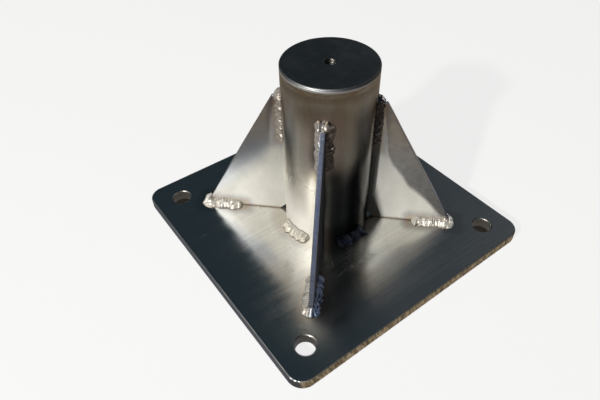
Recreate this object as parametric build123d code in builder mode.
from build123d import *
import os
from math import atan, cos, degrees, radians, sin

# A welded stanchion base: a square deck plate with four bolt holes, a short round
# post closed by a tapped cap, four triangular gussets on the plate's diagonals, and
# the weld beads that join them. The origin is the centre of the plate's underside.
# +Z points up the post, +X to the right and +Y to the back. Millimetres and degrees.

# ---- deck plate --------------------------------------------------------------------
plate_side = 200.0
plate_thick = 8.0
plate_corner_r = 11.0
plate_edge_break = 0.8    # chamfer on the outer edges, top and bottom
hole_pitch = 160.0        # bolt holes, both ways
hole_r = 13.0 / 2         # clearance for M12
hole_break_top = 0.75     # chamfers on the hole rims
hole_break_bottom = 0.3

# ---- post and cap ------------------------------------------------------------------
tube_r = 60.3 / 2         # 2 inch nominal bore pipe
tube_wall = 3.9
post_height = 125.0       # plate top to cap top
cap_thick = 6.0
cap_edge = 0.8            # chamfer on the cap's top rim
cap_groove = 3.0          # bevel round the cap's lower rim, filled by the seam weld
tap_r = 6.8 / 2           # tapping size for M8
tap_break = 0.4
post_top = plate_thick + post_height
tube_top = post_top - cap_thick

# ---- gussets -----------------------------------------------------------------------
gusset_thick = 3.2
gusset_foot = 90.0        # radius of the toe
gusset_height = 100.0     # above the plate
gusset_top = 36.0         # radius of the outer end of the top land
gusset_toe = 2.5          # height of the toe land
gusset_snipe = 5.0        # inner bottom corner cut clear of the post's root
gusset_edge = 0.3         # chamfer along the sloping edge
gusset_overlap = 2.0      # web drawn this far into the post before it is coped
gusset_mid = plate_thick + gusset_height / 2
cope_length = gusset_height + 20        # cylinders that cut the post's surface
bead_cut_length = gusset_height + 40    # into the gusset and the upper bead

# Direction of each gusset round the post, from +X
directions = {
    "front_right": -45.0,
    "back_right": 45.0,
    "back_left": 135.0,
    "front_left": 225.0,
}

# ---- weld beads --------------------------------------------------------------------
upper_weld_low = 66.0     # upper bead's ends above the plate
upper_weld_high = 103.8
upper_weld_half = 6.0     # half width at its base, inside the post's skin
upper_weld_deep = 5.5     # radial depth from that base
upper_weld_sink = 0.85    # depth of that base below the post's surface
toe_weld_in = 61.0        # radii between which the toe bead runs
toe_weld_out = 94.5
toe_weld_leg = 5.0
weld_bite = 0.1           # how far a bead's flanks run into the web before it is cut out
root_leg_plate = 6.6      # root bead between post and plate
root_leg_post = 4.2
root_bulge = 0.45         # rise of the root bead's face off its chord, out and up
root_gap = 17.0           # angle between a root bead and the gusset it is set out from
root_arc = 46.0

# Start angle of each root bead, which then runs anticlockwise seen from above
root_starts = {
    "right": directions["front_right"] + root_gap,
    "front": directions["front_right"] - root_gap - root_arc,
    "left": directions["back_left"] + root_gap,
    "back": directions["back_left"] - root_gap - root_arc,
}


def radial(angle):
    """Horizontal unit vector pointing away from the post's axis."""
    return Vector(cos(radians(angle)), sin(radians(angle)), 0)


def upright(angle):
    """Vertical plane through the post's axis: local x outward, local y up from the plate."""
    return Plane(
        origin=(0, 0, plate_thick),
        x_dir=radial(angle),
        z_dir=(sin(radians(angle)), -cos(radians(angle)), 0),
    )


def save(part, name):
    part.label = name
    export_step(part, f"parts/{name}.step")


def make_base_plate():
    with BuildPart() as plate:
        with BuildSketch():
            RectangleRounded(plate_side, plate_side, plate_corner_r)
        extrude(amount=plate_thick)
        chamfer(
            plate.faces().sort_by(Axis.Z)[0].edges()
            + plate.faces().sort_by(Axis.Z)[-1].edges(),
            length=plate_edge_break,
        )
        with Locations((0, 0, plate_thick)):
            with GridLocations(hole_pitch, hole_pitch, 2, 2):
                Hole(radius=hole_r, depth=plate_thick)
        # the top rims, then the bottom ones, found afresh after the first chamfer
        for level, length in ((-1, hole_break_top), (0, hole_break_bottom)):
            rims = plate.edges().filter_by(GeomType.CIRCLE).filter_by(
                lambda edge: abs(edge.radius - hole_r) < 0.01
            )
            chamfer(rims.group_by(Axis.Z)[level], length=length)
    return plate.part


def make_post_tube():
    """Open pipe standing on the plate."""
    with BuildPart() as tube:
        with BuildSketch(Plane.XY.offset(plate_thick)):
            Circle(tube_r)
            Circle(tube_r - tube_wall, mode=Mode.SUBTRACT)
        extrude(amount=post_height - cap_thick)
    return tube.part


def make_top_cap():
    """Disc as wide as the post, with a hole for tapping at its centre."""
    with BuildPart() as cap:
        with BuildSketch(Plane.XZ):
            with BuildLine():
                Polyline(
                    (0, tube_top),
                    (tube_r - cap_groove, tube_top),
                    (tube_r, tube_top + cap_groove),
                    (tube_r, post_top - cap_edge),
                    (tube_r - cap_edge, post_top),
                    (0, post_top),
                    close=True,
                )
            make_face()
        revolve(axis=Axis.Z)
        with Locations((0, 0, post_top)):
            CounterSinkHole(
                radius=tap_r,
                counter_sink_radius=tap_r + tap_break,
                depth=cap_thick,
                counter_sink_angle=90,
            )
    return cap.part


def make_cap_seam():
    """Weld between cap and post, dressed flush with both."""
    with BuildPart() as seam:
        with BuildSketch(Plane.XZ):
            with BuildLine():
                Polyline(
                    (tube_r - cap_groove, tube_top),
                    (tube_r, tube_top),
                    (tube_r, tube_top + cap_groove),
                    close=True,
                )
            make_face()
        revolve(axis=Axis.Z)
    return seam.part


def make_gusset(angle):
    """Triangular web, coped to the post and sniped at its inner bottom corner."""
    inner = tube_r - gusset_overlap
    with BuildPart() as gusset:
        with BuildSketch(upright(angle)):
            with BuildLine():
                Polyline(
                    (tube_r + gusset_snipe, 0),
                    (gusset_foot, 0),
                    (gusset_foot, gusset_toe),
                    (gusset_top, gusset_height),
                    (inner, gusset_height),
                    (inner, gusset_snipe + gusset_overlap),
                    close=True,
                )
            make_face()
        extrude(amount=gusset_thick / 2, both=True)
        # the outermost face that looks upward is the slope; its two long edges are dressed
        slope = gusset.faces().sort_by(
            lambda face: face.center().dot(radial(angle)) if face.normal_at().Z > 0.2 else -1e9
        )[-1]
        chamfer(slope.edges().sort_by(lambda edge: edge.length)[-2:], length=gusset_edge)
        with Locations((0, 0, gusset_mid)):
            Cylinder(tube_r, cope_length, mode=Mode.SUBTRACT)
    return gusset.part


def make_upper_weld(angle, gusset):
    """Bead up both sides of the web against the post and over the web's top."""
    middle = plate_thick + (upper_weld_low + upper_weld_high) / 2
    base = Plane(
        origin=radial(angle) * (tube_r - upper_weld_sink) + Vector(0, 0, middle),
        x_dir=(0, 0, 1),
        z_dir=radial(angle),
    )
    narrowing = upper_weld_half - gusset_thick / 2 + weld_bite
    with BuildPart() as bead:
        with BuildSketch(base):
            SlotOverall(upper_weld_high - upper_weld_low, 2 * upper_weld_half)
        extrude(amount=upper_weld_deep, taper=degrees(atan(narrowing / upper_weld_deep)))
        with Locations((0, 0, gusset_mid)):
            Cylinder(tube_r, bead_cut_length, mode=Mode.SUBTRACT)
        add(gusset, mode=Mode.SUBTRACT)
    return bead.part


def make_toe_weld(angle, gusset):
    """Bead along both sides of the web on the plate and round its toe."""
    base = Plane(origin=(0, 0, plate_thick), x_dir=radial(angle), z_dir=(0, 0, 1))
    with BuildPart() as bead:
        with BuildSketch(base):
            with Locations(((toe_weld_in + toe_weld_out) / 2, 0)):
                SlotOverall(toe_weld_out - toe_weld_in, gusset_thick + 2 * toe_weld_leg)
        extrude(amount=toe_weld_leg + weld_bite, taper=45)
        add(gusset, mode=Mode.SUBTRACT)
    return bead.part


def make_root_weld(start):
    """Convex bead between post and plate, between two gussets."""
    plate_end = (tube_r + root_leg_plate, 0)
    post_end = (tube_r, root_leg_post)
    crown = (tube_r + root_leg_plate / 2 + root_bulge, root_leg_post / 2 + root_bulge)
    with BuildPart() as bead:
        with BuildSketch(upright(start)):
            with BuildLine():
                Line((tube_r, 0), plate_end)
                ThreePointArc(plate_end, crown, post_end)
                Line(post_end, (tube_r, 0))
            make_face()
        revolve(axis=Axis.Z, revolution_arc=root_arc)
    return bead.part


os.makedirs("parts", exist_ok=True)

save(make_base_plate(), "base_plate")
save(make_post_tube(), "post_tube")
save(make_top_cap(), "top_cap")
save(make_cap_seam(), "weld_cap_seam")

for name, angle in directions.items():
    gusset = make_gusset(angle)
    save(gusset, f"gusset_{name}")
    save(make_upper_weld(angle, gusset), f"weld_gusset_{name}_upper")
    save(make_toe_weld(angle, gusset), f"weld_gusset_{name}_toe")

for name, start in root_starts.items():
    save(make_root_weld(start), f"weld_post_{name}")
